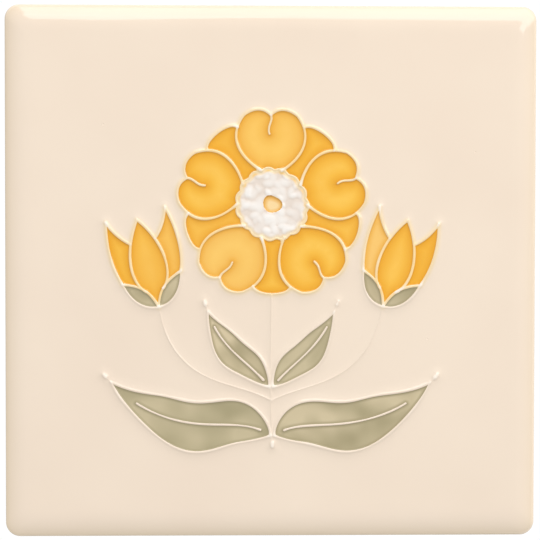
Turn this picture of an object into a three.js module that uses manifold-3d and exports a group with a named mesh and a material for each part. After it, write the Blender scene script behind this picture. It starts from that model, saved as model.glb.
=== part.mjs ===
// A square ceramic wall tile, pressed and fired as one piece, with a flower motif in raised slip lines on its face.
// Millimetres. The tile lies on its back: +Z points out of the glazed face and +Y to the top of the picture.
// The origin is the centre of the back, on the plane that the tile is bedded on.
import * as THREE from "three";
import { mergeVertices } from "three/addons/utils/BufferGeometryUtils.js";
import Module from "manifold-3d";

// The pressed body
const TILE_WIDTH = 152; // along X
const TILE_HEIGHT = 152; // along Y, as the picture stands
const TILE_THICKNESS = 9; // from the back to the flat of the face
const CORNER_RADIUS = 4.1; // the tile's corners, seen from the front
const FACE_CORNER_RADIUS = 2.6; // the corners of the flat of the face, inside the rolled edge
const EDGE_ROLL_WIDTH = 7.5; // how far in from the side the face starts to roll over
const EDGE_ROLL_DROP = 3.4; // how far it has dropped where it meets the side
const BACK_ARRIS = 0.7; // the small bevel where side and back meet

// The key on the back: shallow recesses that hold the adhesive
const KEY_COLUMNS = 4;
const KEY_ROWS = 4;
const KEY_RIM = 10; // plain border round the recesses
const KEY_RIB = 4; // rib between two recesses
const KEY_DEPTH = 0.9;
const KEY_CORNER_RADIUS = 3;

// The raised lines, piped in slip with a nozzle
const LINE_WIDTH = 1;
const LINE_HEIGHT = 0.5;
const LINE_ROOT = 0.4; // how far a line runs down into the body
const FINE_LINE = 0.75; // width and height of midribs, creases and tails, as a share of a full line
const DROP_RADIUS = 0.85; // the drop of slip where a line is lifted off
const HAND_WOBBLE = 0.3; // how far the hand strays from the drawn line
const WOBBLE_LENGTH = 62; // length of one such wave

// The rosette
const ROSETTE_RISE = 19; // its centre above the tile's
const ROSETTE_RADIUS = 28.4;
const PETAL_COUNT = 5;
const EYE_RADIUS = 10; // the raised disc in the middle
const EYE_HEIGHT = 0.4;
const EYE_SCALLOPS = 15;
const SCALLOP_DEPTH = 0.75;
const WELL_RADIUS = 2.6; // the hollow in the eye
const WELL_DEPTH = 0.3;

// The stems and the two tulip buds
const STEM_FOOT = 50; // foot of the main stem, below the tile's centre
const FORK_DROP = 37; // where the side stems leave it, below the tile's centre
const BUD_SPREAD = 32.5; // base of a bud, from the main stem
const BUD_DROP = 8; // and below the tile's centre
const BUD_LENGTH = 25;
const BUD_WIDTH = 18.5;
const BUD_TILT = 15; // degrees outwards

// The leaves: a large pair at the foot and a small pair below the rosette
const FOOT_LEAF_DROP = 47; // root, below the tile's centre
const FOOT_LEAF_REACH = 45.5; // tip, from the main stem
const FOOT_LEAF_RISE = 15.5; // tip, above the root
const FOOT_LEAF_WIDTH = 15;
const STEM_LEAF_DROP = 33;
const STEM_LEAF_REACH = 18;
const STEM_LEAF_RISE = 22;
const STEM_LEAF_WIDTH = 8.8;
const TAIL_LENGTH = 3; // slip drawn out beyond a leaf's tip

// How finely the curves are cut into flats
const CORNER_STEPS = 6; // in a quarter of the tile's corner
const ROLL_STEPS = 7; // in the rolled edge
const KEY_CORNER_STEPS = 3; // in a quarter of a recess's corner
const LINE_STEP = 3.2; // longest straight piece of a line
const LINE_TURN = 13; // degrees that a line turns from one piece to the next
const OVERCUT = 1; // how far a cutting solid stands out of what it cuts

const wasm = await Module();
wasm.setup();
const { degToRad, lerp } = THREE.MathUtils;

function solidOf(geometry) {
  const bare = geometry.clone();
  bare.deleteAttribute("normal");
  bare.deleteAttribute("uv");
  const merged = mergeVertices(bare, 1e-4);
  const vertProperties = new Float32Array(merged.attributes.position.array);
  const triVerts = new Uint32Array(merged.index.array);
  return new wasm.Manifold(new wasm.Mesh({ numProp: 3, vertProperties, triVerts }));
}

function geometryOf(solid) {
  const mesh = solid.getMesh();
  const shared = new THREE.BufferGeometry();
  shared.setAttribute("position", new THREE.BufferAttribute(new Float32Array(mesh.vertProperties), 3));
  shared.setIndex(new THREE.BufferAttribute(new Uint32Array(mesh.triVerts), 1));
  const faceted = shared.toNonIndexed();
  faceted.computeVertexNormals();
  return faceted;
}

// A rectangle with round corners, anticlockwise. Its number of points depends only on steps.
function roundedRectangle(width, height, radius, steps) {
  const points = [];
  const corners = [
    [1, 1],
    [-1, 1],
    [-1, -1],
    [1, -1],
  ];
  corners.forEach(([sideX, sideY], quarter) => {
    const centre = new THREE.Vector2(sideX * (width / 2 - radius), sideY * (height / 2 - radius));
    for (let i = 0; i <= steps; i++) {
      const angle = (Math.PI / 2) * (quarter + i / steps);
      points.push(new THREE.Vector2(radius, 0).rotateAround(new THREE.Vector2(), angle).add(centre));
    }
  });
  return points;
}

// The tile's section from the back to the flat of the face, as insets from the side and heights.
function sectionRings() {
  const rings = [
    { inset: BACK_ARRIS, z: 0 },
    { inset: 0, z: BACK_ARRIS },
  ];
  for (let i = 0; i <= ROLL_STEPS; i++) {
    const turn = (Math.PI / 2) * (i / ROLL_STEPS);
    rings.push({
      inset: EDGE_ROLL_WIDTH * (1 - Math.cos(turn)),
      z: TILE_THICKNESS - EDGE_ROLL_DROP * (1 - Math.sin(turn)),
    });
  }
  return rings;
}

function pressedBody() {
  const positions = [];
  const index = [];
  const rings = sectionRings();
  for (const { inset, z } of rings) {
    const radius = lerp(CORNER_RADIUS, FACE_CORNER_RADIUS, inset / EDGE_ROLL_WIDTH);
    const outline = roundedRectangle(
      TILE_WIDTH - 2 * inset,
      TILE_HEIGHT - 2 * inset,
      radius,
      CORNER_STEPS,
    );
    outline.forEach((p) => positions.push(p.x, p.y, z));
  }
  const count = positions.length / 3 / rings.length;
  for (let ring = 0; ring + 1 < rings.length; ring++) {
    for (let i = 0; i < count; i++) {
      const a = ring * count + i;
      const b = ring * count + ((i + 1) % count);
      index.push(a, b, b + count, a, b + count, a + count);
    }
  }
  const top = (rings.length - 1) * count;
  for (let i = 1; i + 1 < count; i++) {
    index.push(0, i + 1, i);
    index.push(top, top + i, top + i + 1);
  }
  const geometry = new THREE.BufferGeometry();
  geometry.setAttribute("position", new THREE.Float32BufferAttribute(positions, 3));
  geometry.setIndex(index);
  return solidOf(geometry);
}

// All the recesses of the key, as solids to cut from the back.
function keyRecesses() {
  const width = (TILE_WIDTH - 2 * KEY_RIM - (KEY_COLUMNS - 1) * KEY_RIB) / KEY_COLUMNS;
  const height = (TILE_HEIGHT - 2 * KEY_RIM - (KEY_ROWS - 1) * KEY_RIB) / KEY_ROWS;
  const shape = new THREE.Shape(roundedRectangle(width, height, KEY_CORNER_RADIUS, KEY_CORNER_STEPS));
  const cutter = new THREE.ExtrudeGeometry(shape, { depth: KEY_DEPTH + OVERCUT, bevelEnabled: false });
  cutter.translate(0, 0, -OVERCUT);
  const recess = solidOf(cutter);
  const recesses = [];
  for (let column = 0; column < KEY_COLUMNS; column++) {
    for (let row = 0; row < KEY_ROWS; row++) {
      const x = (column - (KEY_COLUMNS - 1) / 2) * (width + KEY_RIB);
      const y = (row - (KEY_ROWS - 1) / 2) * (height + KEY_RIB);
      recesses.push(recess.translate([x, y, 0]));
    }
  }
  return wasm.Manifold.union(recesses);
}

// The motif is drawn flat, in 2-D points of the face. A path is a list of points.
const point = (x, y) => new THREE.Vector2(x, y);
const curve = (a, b, c, d) => new THREE.CubicBezierCurve(a, b, c, d);
const mirrored = (path) => path.map((p) => point(-p.x, p.y));
const withMirror = (paths) => [...paths, ...paths.map(mirrored)];

function pathAlong(...curves) {
  const path = curves[0].getPoints();
  for (const next of curves.slice(1)) {
    path.push(...next.getPoints().slice(1));
  }
  return path;
}

// A point of the rosette: its distance from the centre as a share of the radius, and its angle in degrees
// to one side of the axis of a petal.
function rosettePoint(axis, share, degrees) {
  const angle = axis + degToRad(degrees);
  const r = share * ROSETTE_RADIUS;
  return point(r * Math.cos(angle), ROSETTE_RISE + r * Math.sin(angle));
}

// One side of a heart-shaped front petal, from the eye to its shoulder. side is 1 or -1.
function petalSide(axis, side) {
  const p = (share, degrees) => rosettePoint(axis, share, side * degrees);
  return curve(p(EYE_RADIUS / ROSETTE_RADIUS, 17), p(0.51, 31), p(0.79, 35), p(0.93, 17));
}

// And from the shoulder over the lobe into the notch.
function petalLobe(axis, side) {
  const p = (share, degrees) => rosettePoint(axis, share, side * degrees);
  return curve(p(0.93, 17), p(0.985, 10), p(0.965, 4), p(0.89, 0));
}

// The short crease that runs on from the notch, in a slight S.
function petalCrease(axis) {
  const p = (share, degrees) => rosettePoint(axis, share, degrees);
  return curve(p(0.89, 0), p(0.83, -2), p(0.78, 3), p(0.7, 1));
}

// The tip of a rear petal, which shows between two front ones and ends on their lines.
function rearPetal(axis) {
  const halfway = Math.PI / PETAL_COUNT;
  const start = petalSide(axis - halfway, 1).getPoint(0.84);
  const end = petalSide(axis + halfway, -1).getPoint(0.84);
  return curve(start, rosettePoint(axis, 0.945, -10), rosettePoint(axis, 0.945, 10), end);
}

function rosettePaths() {
  const paths = [];
  const creases = [];
  for (let i = 0; i < PETAL_COUNT; i++) {
    const axis = Math.PI / 2 + (i * 2 * Math.PI) / PETAL_COUNT;
    for (const side of [1, -1]) {
      paths.push(pathAlong(petalSide(axis, side), petalLobe(axis, side)));
    }
    paths.push(rearPetal(axis + Math.PI / PETAL_COUNT).getPoints());
    creases.push(petalCrease(axis).getPoints());
  }
  return { paths, creases };
}

// A point of the right-hand bud, in shares of its width and length from its base.
function budPoint(x, y) {
  const shifted = point(x * BUD_WIDTH, y * BUD_LENGTH).rotateAround(point(0, 0), degToRad(-BUD_TILT));
  return shifted.add(point(BUD_SPREAD, -BUD_DROP));
}

const budFoot = budPoint(0, -0.09);

// One side of the bud: its sepal, half of the middle petal and a side petal. side is 1 or -1.
function budSide(side) {
  const p = (x, y) => budPoint(side * x, y);
  const tip = p(0.47, 1);
  const sepalTip = p(0.46, 0.26);
  const sepalUnder = curve(budFoot, p(0.2, -0.1), p(0.4, 0.02), sepalTip);
  const sepalTop = curve(sepalTip, p(0.26, 0.2), p(0.08, 0.14), budFoot);
  const middle = curve(sepalTop.getPoint(0.62), p(0.33, 0.22), p(0.34, 0.6), p(0, 0.93));
  const outside = curve(sepalTip, p(0.57, 0.5), p(0.56, 0.74), tip);
  const inside = curve(tip, p(0.42, 0.88), p(0.32, 0.76), middle.getPoint(0.75));
  return [sepalUnder, sepalTop, middle, outside, inside].map((part) => part.getPoints());
}

function sideStem() {
  const fork = point(0, -FORK_DROP);
  const climb = budFoot.y - fork.y;
  const low = point(0.4 * budFoot.x, fork.y + 0.25 * climb);
  const high = point(0.87 * budFoot.x, fork.y + 0.2 * climb);
  return curve(fork, low, high, budFoot).getPoints();
}

function mainStem() {
  const top = rearPetal(-Math.PI / 2).getPoint(0.5);
  const foot = point(0, -STEM_FOOT);
  const sway = LINE_WIDTH / 2;
  const high = point(sway, lerp(top.y, foot.y, 1 / 3));
  const low = point(-sway, lerp(top.y, foot.y, 2 / 3));
  return curve(top, high, low, foot).getPoints();
}

// A pointed leaf to the right of the stem. Its spine is bent by two shares of its reach and rise, and its
// edges swell and narrow in waves.
function leafPaths({ drop, reach, rise, width, bend, swell }) {
  const root = point(LINE_WIDTH / 2, -drop);
  const [near, far] = bend.map(([x, y]) => point(root.x + x * reach, root.y + y * rise));
  const tip = point(reach, rise - drop);
  const spine = curve(root, near, far, tip);
  const stations = 24;
  const edges = [1, -1].map((side) => {
    const edge = [root];
    for (let i = 1; i < stations; i++) {
      const t = i / stations;
      const ahead = spine.getTangent(t);
      const wave = 1 + swell * Math.sin(3 * Math.PI * t + (side < 0 ? 2.4 : 0));
      const half = (width / 2) * Math.sin(Math.PI * t ** 0.85) ** 0.9;
      edge.push(spine.getPoint(t).add(point(-ahead.y, ahead.x).multiplyScalar(side * half * wave)));
    }
    return [...edge, tip];
  });
  const midrib = spine.getPoints(stations).slice(2, -4);
  const tail = [tip, tip.clone().addScaledVector(spine.getTangent(1), TAIL_LENGTH)];
  return { edges, midrib, tail };
}

// A line's section: flat underneath and rounded over in three flats. The shape's X points down.
function lineSection(share) {
  const half = (share * LINE_WIDTH) / 2;
  const shape = new THREE.Shape();
  shape.moveTo(LINE_ROOT, -half);
  for (const degrees of [180, 120, 60, 0]) {
    const turn = degToRad(degrees);
    shape.lineTo(-share * LINE_HEIGHT * Math.sin(turn), half * Math.cos(turn));
  }
  shape.lineTo(LINE_ROOT, half);
  return shape;
}

// Moves a point a little off the drawn line, as a hand does.
function handDrawn(p) {
  const turn = (2 * Math.PI) / WOBBLE_LENGTH;
  return point(
    p.x + HAND_WOBBLE * Math.sin(turn * p.y + 0.6),
    p.y + HAND_WOBBLE * Math.sin(1.7 * turn * p.x + 1.9),
  );
}

// The whole angle that a path turns through.
function turningOf(path) {
  let turning = 0;
  for (let i = 1; i + 1 < path.length; i++) {
    const before = path[i].clone().sub(path[i - 1]);
    const after = path[i + 1].clone().sub(path[i]);
    turning += before.angleTo(after);
  }
  return turning;
}

function raisedLine(path, share = 1) {
  const drawn = path.map(handDrawn);
  const extrudePath = new THREE.CatmullRomCurve3(
    drawn.map((p) => new THREE.Vector3(p.x, p.y, TILE_THICKNESS)),
  );
  const byTurn = turningOf(drawn) / degToRad(LINE_TURN);
  const byLength = extrudePath.getLength() / LINE_STEP;
  const steps = Math.ceil(Math.max(byTurn, byLength));
  return solidOf(new THREE.ExtrudeGeometry(lineSection(share), { steps, extrudePath }));
}

// A low dome of slip at the end of a line.
function slipDrop(place) {
  const dome = new THREE.SphereGeometry(DROP_RADIUS, 8, 6);
  dome.rotateX(Math.PI / 2);
  dome.scale(1, 1, LINE_HEIGHT / DROP_RADIUS);
  const { x, y } = handDrawn(place);
  dome.translate(x, y, TILE_THICKNESS);
  return solidOf(dome);
}

// The eye: a low scalloped disc with a hollow in its middle.
function rosetteEye() {
  const outline = [];
  const count = 4 * EYE_SCALLOPS;
  for (let i = 0; i < count; i++) {
    const angle = (2 * Math.PI * i) / count;
    const r = EYE_RADIUS + SCALLOP_DEPTH * (Math.abs(Math.cos((angle * EYE_SCALLOPS) / 2)) - 0.5);
    outline.push(handDrawn(point(r * Math.cos(angle), ROSETTE_RISE + r * Math.sin(angle))));
  }
  const depth = EYE_HEIGHT + LINE_ROOT;
  const disc = new THREE.ExtrudeGeometry(new THREE.Shape(outline), { depth, bevelEnabled: false });
  disc.translate(0, 0, TILE_THICKNESS - LINE_ROOT);
  const cutDepth = WELL_DEPTH + OVERCUT;
  const well = new THREE.CylinderGeometry(WELL_RADIUS, 0.8 * WELL_RADIUS, cutDepth, 16);
  well.rotateX(Math.PI / 2);
  const middle = handDrawn(point(0, ROSETTE_RISE));
  well.translate(middle.x, middle.y, TILE_THICKNESS + EYE_HEIGHT - WELL_DEPTH + cutDepth / 2);
  return solidOf(disc).subtract(solidOf(well));
}

const leaves = [
  leafPaths({
    drop: FOOT_LEAF_DROP,
    reach: FOOT_LEAF_REACH,
    rise: FOOT_LEAF_RISE,
    width: FOOT_LEAF_WIDTH,
    bend: [
      [0.24, 0.5],
      [0.65, -0.15],
    ],
    swell: 0.16,
  }),
  leafPaths({
    drop: STEM_LEAF_DROP,
    reach: STEM_LEAF_REACH,
    rise: STEM_LEAF_RISE,
    width: STEM_LEAF_WIDTH,
    bend: [
      [0.35, 0.35],
      [0.75, 0.5],
    ],
    swell: 0.1,
  }),
];

function motif() {
  const rosette = rosettePaths();
  const beside = [...budSide(1), ...budSide(-1), sideStem(), ...leaves.flatMap((leaf) => leaf.edges)];
  const besideFine = leaves.flatMap((leaf) => [leaf.midrib, leaf.tail]);
  const full = [...rosette.paths, mainStem(), ...withMirror(beside)];
  const fine = [...rosette.creases, ...withMirror(besideFine)];
  const drops = [...withMirror(leaves.map((leaf) => leaf.tail.slice(1))).flat(), point(0, -STEM_FOOT)];
  return [
    ...full.map((path) => raisedLine(path)),
    ...fine.map((path) => raisedLine(path, FINE_LINE)),
    ...drops.map(slipDrop),
    rosetteEye(),
  ];
}

const body = pressedBody().subtract(keyRecesses());
const glaze = new THREE.MeshStandardMaterial({ color: 0xf4e3cf, roughness: 0.12, metalness: 0 });
const tile = new THREE.Mesh(geometryOf(wasm.Manifold.union([body, ...motif()])), glaze);
tile.name = "tile";

const part = new THREE.Group();
part.add(tile);
export default part;
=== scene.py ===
"""The looks of a square relief tile: its glazed face with piped slip lines, its bare back, and the studio.

The whole tile is one fired piece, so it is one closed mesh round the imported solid. Sizes are in millimetres
until the mesh is made, and the curves of the motif are those of the solid.
"""
import math

import bpy
import numpy as np
from mathutils import Matrix, Vector
from mathutils.geometry import delaunay_2d_cdt


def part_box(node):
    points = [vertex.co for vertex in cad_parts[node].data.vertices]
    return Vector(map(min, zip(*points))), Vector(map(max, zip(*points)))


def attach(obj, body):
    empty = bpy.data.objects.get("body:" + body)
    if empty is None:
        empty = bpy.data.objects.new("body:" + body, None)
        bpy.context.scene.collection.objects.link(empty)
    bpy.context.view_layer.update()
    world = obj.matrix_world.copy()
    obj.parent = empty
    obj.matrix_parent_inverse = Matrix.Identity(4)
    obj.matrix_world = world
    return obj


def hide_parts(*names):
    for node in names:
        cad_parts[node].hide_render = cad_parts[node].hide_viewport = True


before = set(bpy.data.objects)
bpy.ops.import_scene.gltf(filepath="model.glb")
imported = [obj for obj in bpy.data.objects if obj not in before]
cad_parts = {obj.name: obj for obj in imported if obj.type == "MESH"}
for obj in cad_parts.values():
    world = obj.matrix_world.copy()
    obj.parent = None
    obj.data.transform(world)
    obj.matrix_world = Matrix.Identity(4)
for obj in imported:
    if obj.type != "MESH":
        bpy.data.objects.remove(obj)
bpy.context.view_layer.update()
MM = 0.001  # in metres
SEED = 41
random = np.random.default_rng(SEED)

# The pressed body
node_low, node_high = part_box("tile")
LINE_HEIGHT = 0.5  # the solid's lines, above the flat of the face
TILE_WIDTH = (node_high.x - node_low.x) / MM
TILE_HEIGHT = (node_high.y - node_low.y) / MM
FACE_LEVEL = node_high.z / MM - LINE_HEIGHT  # the flat of the face, above the back
CORNER_RADIUS = 4.1  # the tile's corners, seen from the front
FACE_CORNER_RADIUS = 2.6  # and those of the flat of the face, inside the rolled edge
EDGE_ROLL_WIDTH = 7.5  # how far in from the side the face starts to roll over
EDGE_ROLL_DROP = 3.4  # how far it has dropped where it meets the side
BACK_ARRIS = 0.7  # the small bevel where side and back meet
KEY_COLUMNS = 4  # recesses in the back
KEY_ROWS = 4
KEY_RIM = 10.0  # plain border round them
KEY_RIB = 4.0  # between two of them
KEY_DEPTH = 0.9
KEY_CORNER_RADIUS = 3.0
KEY_DRAFT = 0.5  # how far a recess's wall leans in on its way to the floor
KEY_WALL = ((0, 0), (0.1, 0.12), (KEY_DRAFT, 0.8 * KEY_DEPTH), (1.8 * KEY_DRAFT, KEY_DEPTH))  # inset, height

# The slip lines
LINE_WIDTH = 1.0
RIDGE_HEIGHT = 0.48  # a line's height after firing
RIDGE_FULLNESS = 1.2  # above 1, its top is broader
LINE_FOOT = 0.82  # from the middle of a line to where its ridge runs out
FINE_LINE = 0.75  # a midrib, crease or tail, as a share of a full line
STEM_LINE = 0.68
DROP_SHARE = 1.25  # the drop of slip at a line's end
DROP_RISE = 1.08  # its height, as a share of a full line's
DROP_LENGTH = 0.9
SKIRT_HEIGHT = 0.36  # ground glaze drawn up against a line
SKIRT_WIDTH = 1.3
SKIRT_FULLNESS = 1.4
BEAD_SHARE = 0.25  # how much thicker a line is where it starts
BEAD_LENGTH = 1.3
LINE_WAVES = ((0.1, 4.3), (0.06, 1.9))  # how much a line thickens and thins, and its way for one radian
HAND_WOBBLE = 0.3  # how far the hand strays from the drawn line
WOBBLE_LENGTH = 62.0  # length of one such wave
TAIL_LENGTH = 3.0  # slip drawn out beyond a leaf's tip
BARE_SLIP = 1.03  # a ridge above this share of its usual height sheds its glaze, and pale slip shows
BARE_FADE = 0.25  # and is fully bare this much higher
JOIN_POWER = 4  # how crisply two lines, or two dabs, run together

# The rosette. A petal's curves are given by their control points, each as a share of the rosette's radius
# and its degrees to one side of the petal's axis.
ROSETTE_RISE = 19.0  # its centre above the tile's
ROSETTE_RADIUS = 28.4
PETAL_COUNT = 5
EYE_RADIUS = 10.0
EYE_HEIGHT = 0.4
EYE_SCALLOPS = 15
SCALLOP_DEPTH = 0.75
WELL_RADIUS = 2.6  # the hollow in the eye
WELL_DEPTH = 0.3
WELL_WAVES = ((2, 0.07, 0.6), (3, 0.05, 0))  # out of round: waves round it, share of its radius, start
PETAL_SIDE = ((EYE_RADIUS / ROSETTE_RADIUS, 17), (0.51, 31), (0.79, 35), (0.93, 17))
PETAL_LOBE = ((0.93, 17), (0.985, 10), (0.965, 4), (0.89, 0))
PETAL_CREASE = ((0.89, 0), (0.83, -2), (0.78, 3), (0.7, 1))
REAR_PETAL_CROWN = ((0.945, -10), (0.945, 10))
REAR_PETAL_ROOT = 0.84  # how far along a front petal's side a rear petal's line ends on it

# The stems, buds and leaves
STEM_FOOT = 50.0  # foot of the main stem, below the tile's centre
FORK_DROP = 37.0  # where the side stems leave it
BUD_SPREAD = 32.5  # base of a bud, from the main stem
BUD_DROP = 8.0  # and below the tile's centre
BUD_LENGTH = 25.0
BUD_WIDTH = 18.5
BUD_TILT = 15.0  # degrees outwards
FOOT_LEAF = {
    "drop": 47.0,
    "reach": 45.5,
    "rise": 15.5,
    "width": 15.0,
    "swell": 0.16,
    "bend": ((0.24, 0.5), (0.65, -0.15)),
}
STEM_LEAF = {
    "drop": 33.0,
    "reach": 18.0,
    "rise": 22.0,
    "width": 8.8,
    "swell": 0.1,
    "bend": ((0.35, 0.35), (0.75, 0.5)),
}

# The glazes
POOL_RIM = 0.2  # height of a glaze pool where it meets its line
POOL_FLOOR = 0.07  # and in its middle
POOL_SPREAD = 1.1  # how far the pool's rim reaches in
POOL_SAG = 0.8  # share of that rim missing under an upper line, as the glaze ran a little down the tile
LINE_EDGE = 0.36  # from the middle of a full line to where the coloured glaze begins
AMBER_STAIN_AND_BOUNCE_REACH = 1.3  # how far amber tints the cream beside it: partly amber run onto the cream, partly painted warm light thrown back from the amber
SWELL_HEIGHT = 0.03  # the slow waves of the fired face
GLAZE_JOIN = 0.04  # how softly a glaze runs up onto a ridge
EYE_RIM_DROP = 0.15  # how much thinner the white is along the eye's rim
DAB_HEIGHT = 0.27  # the brush's dabs in the white of the eye
DAB_SPACING = 2.1
DAB_SCATTER = 0.35  # as a share of the spacing
DAB_LENGTHS = (1.2, 2.6)  # from a dab's middle to its end
DAB_WIDTH = 0.65  # as a share of its length
DAB_SHARES = (0.35, 1)  # how thick a dab is
DABS_START = (0.25, 1.3)  # from the rim's middle to where the dabs begin and where they are at their full
WELL_LIP = (-0.1, 0.4)  # from the well's outline inwards, where the eye starts to sink and where it ends
WELL_PAINTED_LIGHT_AND_SHADE = 0.6  # painted light and shade: share by which the well's glaze counts as further from its rim at the foot, so paler there, and nearer under its upper rim, so darker there
GOLD_GAP = 0.75  # from the rim's middle to the spots of gold in the scallops
GOLD_SIZE = 0.4
PIT_COUNT = 4  # pinholes that burst in the ground glaze
PIT_SPREAD = 0.42  # how far from the centre they lie at most, as a share of the tile
PIT_RADIUS = 0.2
PIT_DEPTH = 0.09
PIT_RIM = 0.25  # height of a pit's faint rim, as a share of its depth
PIT_RIM_PLACE = 1.5  # in radii of the pit
PIT_RIM_WIDTH = 0.5
EDGE_TINT_SPAN = (0.2, 2.2)  # how far below the face the rolled edge's warmer, darker tint starts and is at its full
EDGE_TINT_END = 1.0  # how far below the rolled edge the colour is as on the face again
SIDE_GLAZE_END = 2.3  # how high above the back the glaze on the sides ends
GLAZE_END_WAVES = (  # how far that end strays, its way in x and y, millimetres for one radian, start
    (0.35, (1, -1), 9.3, 1),
    (0.25, (1, -1), 3.7, 0),
    (0.2, (1, 1), 5.9, 0),
)
GLAZE_LIP = 0.12  # thickness of the glaze where it ends
LIP_PROFILE = ((0, 0.4), (0.02, 0.15), (0.06, 0.05), (GLAZE_LIP, 0))  # inset, height above its end
CLAY_START = 0.15  # how far below that end the bare clay still follows its wave
WAVE_SHIFT = 3000.0  # from the clouds of colour to the waves of the skin, which are cut from one pattern

# The studio. The softboxes and the table are in metres, the camera in millimetres.
SOFTBOX_AZIMUTH = 28  # degrees to the right of the top of the tile
SOFTBOX_DISTANCE = 0.9
SOFTBOXES = {
    "high_softbox": {"low": 0.42, "high": 1.26, "width": 1.74, "shift": 0.0, "lean": 9, "glow": 1.93},
    "low_softbox": {"low": 0.0, "high": 0.42, "width": 1.74, "shift": 0.0, "lean": 9, "glow": 1.78},
    "left_softbox": {"low": 1.07, "high": 1.97, "width": 0.55, "shift": -0.845, "lean": -24, "glow": 1.92},
    "right_softbox": {"low": 1.17, "high": 1.87, "width": 0.5, "shift": 0.67, "lean": 9, "glow": 1.92},
}
PANEL_COLOUR = "#fffdff"
TABLE_REACH = 1.5  # the light table's edges, from the middle of the tile
TABLE_GLOW = 1.02
BRIGHT_SIDE = (-0.3, -0.2, 0.93)  # where the room is brightest
ROOM_LIGHT = "#eeeeee"
ROOM_DARK = "#7c7a77"
ROOM_FADE = -0.75  # where the room is at its darkest: 1 towards the bright side, -1 away from it
CAMERA_PLACE = (-10.71, 11.27, 435.83)
CAMERA_TURN = (-1.443, -1.376, 0.087)  # degrees about X, Y and Z
CAMERA_LENS = 100
CAMERA_SENSOR = 36
CLIP_START = 50.0

# How finely the surface is cut
CURVE_STEPS = 40
LEAF_STEPS = 60
MIDRIB = slice(5, -9)  # the part of a leaf's spine that its midrib follows
SCALLOP_STEPS = 24
WELL_STEPS = 60
COARSE_STEP = 0.6  # along the paths that distances are measured to
LINE_STEP = 0.45  # along a line
ROWS = (0.13, 0.25, LINE_EDGE, 0.52, 0.74, 1.1, 1.6)  # rows of points beside a full line
ROW_SLACK = 0.04  # how much nearer another line may be to a row's point
EYE_ROWS_END = 0.55  # rows inside the eye stop this far from its rim
EYE_GRID_START = 0.6  # and its grid begins this far
EYE_MARGIN = 1  # how far that grid is laid beyond the eye before it is cut to it
WELL_ROWS_END = 0.5  # rows round the well reach this far
NEAR_STEP = 0.7  # on the face near the lines
NEAR_REACH = 4.2  # how far from a line that is
FIELD_STEP = 1.4  # on the open face
FIELD_GRIDS = (  # step, and between which distances from a line it holds
    (NEAR_STEP, ROWS[-1] + 0.2, NEAR_REACH),
    (FIELD_STEP, NEAR_REACH + 0.3, math.inf),
)
DAB_STEP = 0.26  # on the eye
PIT_RINGS = (0.08, 0.16, 0.24, 0.34, 0.5, 0.8)
PIT_STEP = 0.12
MERGE_CELL = 0.07  # of the points in a square of this size, one is kept
REACH = 2.2  # how far from a line its ridge and skirt are felt
DEPTH_REACH = 4.6  # how far from a line the coloured glazes change in depth
CORNER_STEPS = 18  # round a corner of the tile
SIDE_STEPS = 100  # and along a side
ROLL_STEP = 5  # degrees, down the rolled edge
KEY_CORNER_STEPS = 5  # the same for a recess of the key
KEY_SIDE_STEPS = 6
SAME_POINT = 1e-7  # points closer than this are one to delaunay_2d_cdt
WHOLE_HULL = 0  # delaunay_2d_cdt gives the triangles of the whole hull
INSIDE_LOOPS = 1  # or only those inside its loops
SHARP_ANGLE = 40  # degrees
TINY = 1e-9  # keeps a division off nought

# The map of the exported colours, as shares of its square
MAP_FACE = 0.79
MAP_BACK = 0.18
MAP_STRIP = 0.047
MAP_MARGIN = 0.006
FACE_SLOPE = 0.35  # upright share of a normal, above which it is the face's
BACK_SLOPE = -0.7  # and below which it is the back's
SIDE_START = 0.47  # from the middle, as a share of the tile, to where the sides begin


def on_curve(controls, shares):
    """Points of a cubic curve with four control points, at the given shares of its way."""
    t = np.atleast_1d(np.asarray(shares, float))[:, None]
    a, b, c, d = controls
    return (1 - t) ** 3 * a + 3 * (1 - t) ** 2 * t * b + 3 * (1 - t) * t**2 * c + t**3 * d


def path_along(*curves):
    """The curves' points, one after the other, as one path."""
    shares = np.linspace(0, 1, CURVE_STEPS + 1)
    parts = [on_curve(curves[0], shares)]
    parts += [on_curve(controls, shares[1:]) for controls in curves[1:]]
    return np.vstack(parts)


def mirrored(path):
    return path * (-1, 1)


def hand_drawn(path):
    """Moves points a little off the drawn line, as a hand does."""
    turn = 2 * math.pi / WOBBLE_LENGTH
    path = np.asarray(path, float)
    dx = np.sin(turn * path[:, 1] + 0.6)
    dy = np.sin(1.7 * turn * path[:, 0] + 1.9)
    return path + HAND_WOBBLE * np.stack([dx, dy], 1)


def evenly(path, step):
    """The path again, with its points a step apart."""
    lengths = np.linalg.norm(np.diff(path, axis=0), axis=1)
    way = np.concatenate([[0], np.cumsum(lengths)])
    count = max(2, int(round(way[-1] / step)) + 1)
    places = np.linspace(0, way[-1], count)
    return np.stack([np.interp(places, way, path[:, axis]) for axis in (0, 1)], 1)


def hexagonal(low, high, step):
    """Points on a hexagonal grid."""
    rows = np.arange(low[1], high[1], step * math.sqrt(0.75))
    parts = []
    for number, y in enumerate(rows):
        x = np.arange(low[0] + (number % 2) * step / 2, high[0], step)
        parts.append(np.stack([x, np.full(len(x), y)], 1))
    return np.vstack(parts)


def eye_outline():
    angle = np.linspace(0, 2 * math.pi, SCALLOP_STEPS * EYE_SCALLOPS + 1)
    radius = EYE_RADIUS + SCALLOP_DEPTH * (np.abs(np.cos(angle * EYE_SCALLOPS / 2)) - 0.5)
    return np.stack([radius * np.cos(angle), ROSETTE_RISE + radius * np.sin(angle)], 1)


def well_outline():
    """The hollow in the eye, a little out of round."""
    angle = np.linspace(0, 2 * math.pi, WELL_STEPS + 1)
    waves = [share * np.cos(count * angle + start) for count, share, start in WELL_WAVES]
    radius = WELL_RADIUS * sum(waves, 1)
    return np.stack([radius * np.cos(angle), ROSETTE_RISE + radius * np.sin(angle)], 1)


def petal_axis(number):
    return math.pi / 2 + number * 2 * math.pi / PETAL_COUNT


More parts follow.
